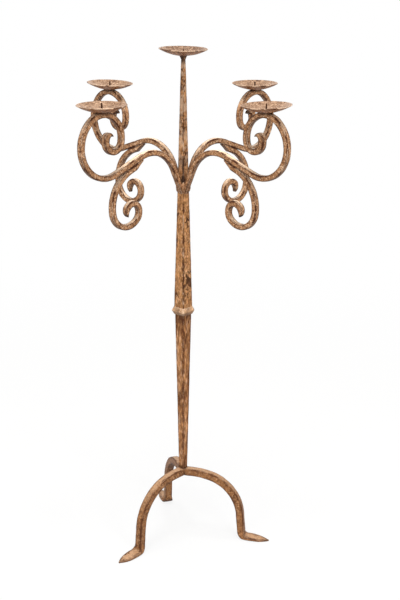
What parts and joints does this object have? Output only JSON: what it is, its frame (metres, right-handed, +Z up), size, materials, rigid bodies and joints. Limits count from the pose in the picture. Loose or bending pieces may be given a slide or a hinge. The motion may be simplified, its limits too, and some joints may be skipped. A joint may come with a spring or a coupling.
{
  "type": "floor candle holder",
  "caption": "Tall forged iron floor candle holder with a tapered square post, scrolled arms, shallow dished candle pans with spikes and arched legs with leaf shaped feet.",
  "frame": {"origin": "on the floor under the middle of the post", "axes": "+Z up along the post, one leg along -Y, the arms along +X, +Y, -X and -Y"},
  "size_m": [0.6714, 0.6714, 1.3],
  "materials": {
    "post_iron": "antique gilt patina, mottled",
    "collar_iron": "antique gilt patina, worn ridge",
    "arm_iron": "antique gilt patina, mottled",
    "leg_iron": "antique gilt patina, darker",
    "pan_iron": "speckled beige patina",
    "spike_iron": "dark brown, bare",
    "weld_metal": "patina over a rough bead"
  },
  "bodies": {
    "root": {"lower_post": "post_iron", "upper_post": "post_iron", "post_collar": "collar_iron", "arm_right": "arm_iron", "arm_back": "arm_iron", "arm_left": "arm_iron", "arm_front": "arm_iron", "lower_scroll_right": "arm_iron", "lower_scroll_back": "arm_iron", "lower_scroll_left": "arm_iron", "lower_scroll_front": "arm_iron", "arm_root_welds": "weld_metal", "pan_right": "pan_iron", "pan_back": "pan_iron", "pan_left": "pan_iron", "pan_front": "pan_iron", "pan_middle": "pan_iron", "spike_right": "spike_iron", "spike_back": "spike_iron", "spike_left": "spike_iron", "spike_front": "spike_iron", "spike_middle": "spike_iron", "leg_front": "leg_iron", "leg_right": "leg_iron", "leg_left": "leg_iron"}
  },
  "joints": []
}
